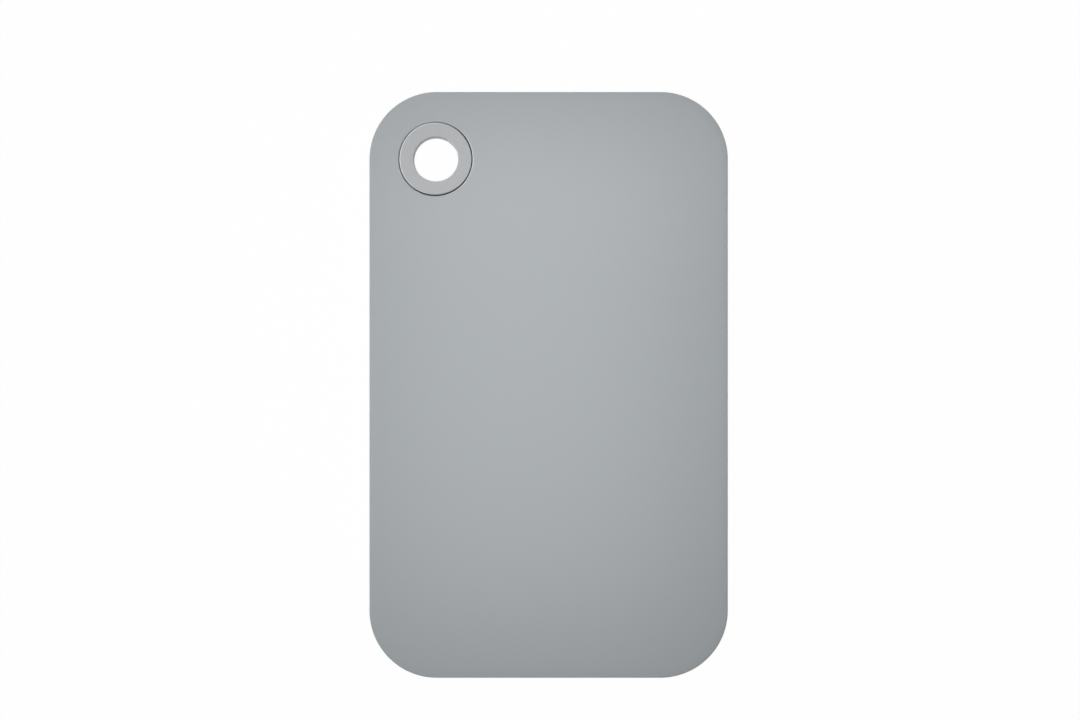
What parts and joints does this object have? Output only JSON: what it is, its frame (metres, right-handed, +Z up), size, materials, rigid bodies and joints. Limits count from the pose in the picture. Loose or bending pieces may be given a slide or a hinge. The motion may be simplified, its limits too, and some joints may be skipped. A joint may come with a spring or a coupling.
{
  "type": "breakfast board",
  "caption": "Thin rectangular breakfast board with round corners and a soft hanging ring set flush in one corner.",
  "frame": {"origin": "centre of the board's outline, on the underside that it rests on", "axes": "+Z up through the thickness, +Y along the length towards the end that holds the ring, +X across the width, away from the ring's side"},
  "size_m": [0.15, 0.245, 0.008],
  "materials": {
    "board_plastic": "satin moulded plastic with a fine, even grain",
    "ring_silicone": "soft matt silicone"
  },
  "bodies": {
    "root": {"board_panel": "board_plastic", "hanging_ring": "ring_silicone"}
  },
  "joints": []
}
